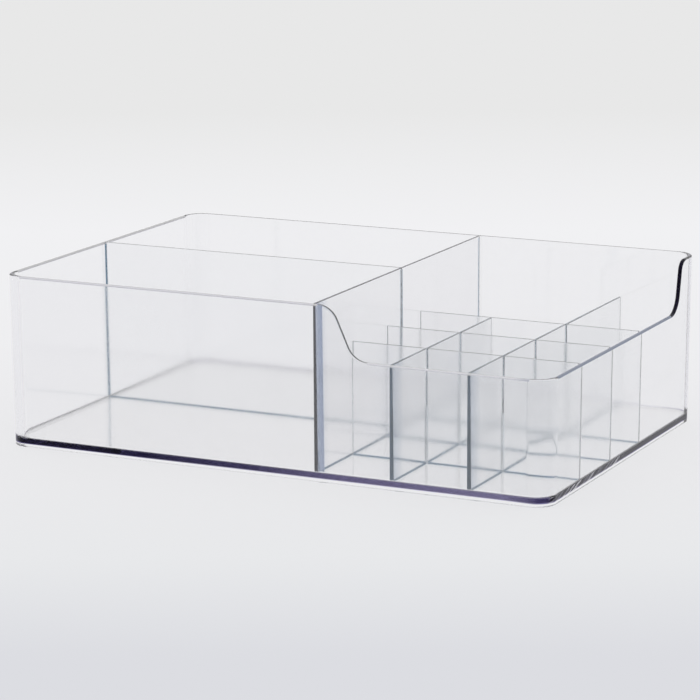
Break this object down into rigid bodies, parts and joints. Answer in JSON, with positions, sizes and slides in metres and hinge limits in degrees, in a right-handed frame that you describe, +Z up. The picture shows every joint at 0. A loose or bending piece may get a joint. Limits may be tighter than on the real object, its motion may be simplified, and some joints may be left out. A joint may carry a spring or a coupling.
{
  "type": "vanity organizer",
  "caption": "Clear plastic vanity tray with leaning walls, S-curved drops in its front and right rims, deep bins on the left and a grid of small cells made by halved dividers on the right.",
  "frame": {"origin": "middle of the foot rim's underside, on the table", "axes": "+X to the right along the long side, -Y towards the user, +Z up"},
  "size_m": [0.305, 0.2064, 0.0905],
  "materials": {
    "clear_plastic": "clear, polished, faintly blue-violet"
  },
  "bodies": {
    "root": {"tray": "clear_plastic", "partition": "clear_plastic", "bin_divider": "clear_plastic", "inner_long_divider": "clear_plastic", "outer_long_divider": "clear_plastic", "front_cross_divider": "clear_plastic", "middle_cross_divider": "clear_plastic", "rear_cross_divider": "clear_plastic"}
  },
  "joints": []
}
